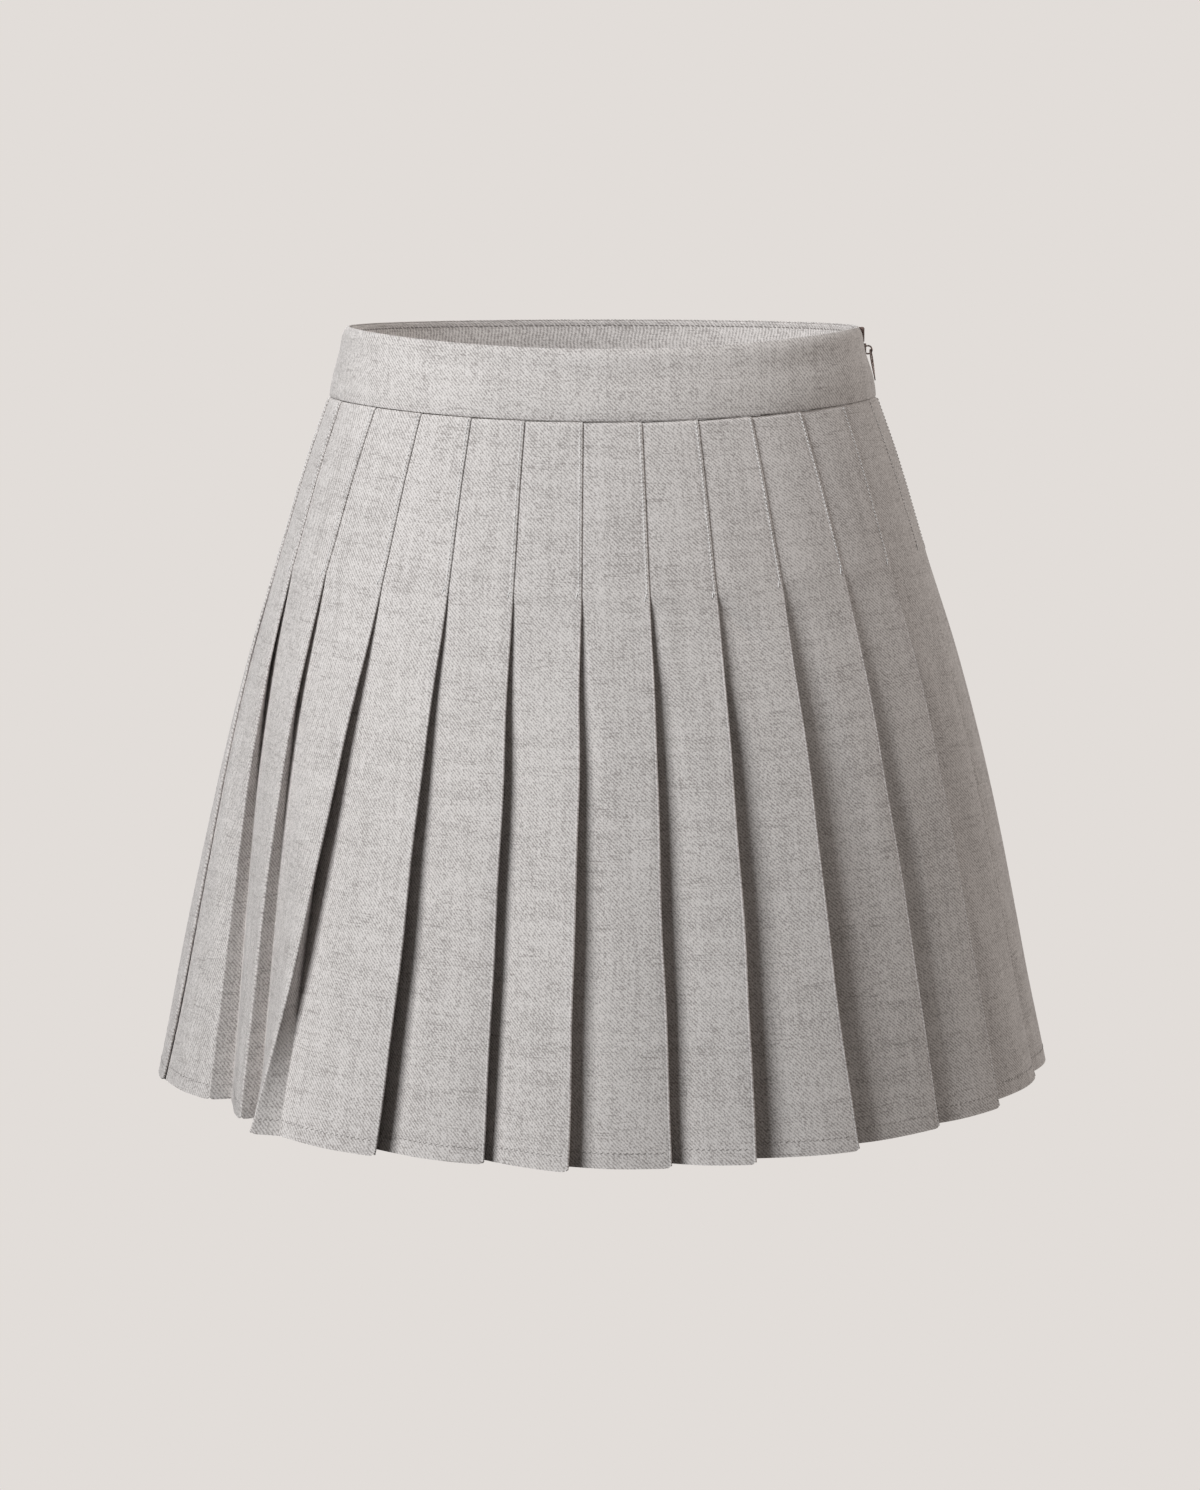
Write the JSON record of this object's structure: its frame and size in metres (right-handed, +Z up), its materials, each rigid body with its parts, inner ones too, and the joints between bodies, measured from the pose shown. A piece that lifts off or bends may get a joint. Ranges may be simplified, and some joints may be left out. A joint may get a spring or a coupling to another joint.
{
  "type": "pleated mini skirt",
  "caption": "Light heather grey pleated mini skirt with a shaped waistband, stitched-down one-way knife pleats and a side zip with a teardrop pull.",
  "frame": {"origin": "middle of the waist opening, level with the top edge of the waistband at the sides", "axes": "+Z up, the front of the skirt faces -Y, the zip is at +X (the wearer's left)"},
  "size_m": [0.4536, 0.3918, 0.385],
  "materials": {
    "cloth": "matte heather grey fine twill with faint darker slubs",
    "zip_tape": "grey woven zip tape with a nylon coil",
    "zip_end": "dark brown rounded end",
    "zip_metal": "gunmetal brown plated metal, satin"
  },
  "bodies": {
    "skirt": {"skirt_front": "cloth", "skirt_back": "cloth", "waistband_front": "cloth", "waistband_back": "cloth", "waistband_facing_front": "cloth", "waistband_facing_back": "cloth", "zip_tape_front": "zip_tape", "zip_tape_back": "zip_tape", "zip_coil": "zip_tape", "zip_top_end": "zip_end", "zip_slider": "zip_metal"},
    "zip_pull": {"zip_pull": "zip_metal"}
  },
  "joints": [
    {"name": "pull_swing", "type": "hinge", "parent": "skirt", "child": "zip_pull", "pos_m": [0.13431, 0, -0.01341], "axis": [-0.2386, -0.9703, -0.0399], "range_deg": [0, 65]}
  ]
}
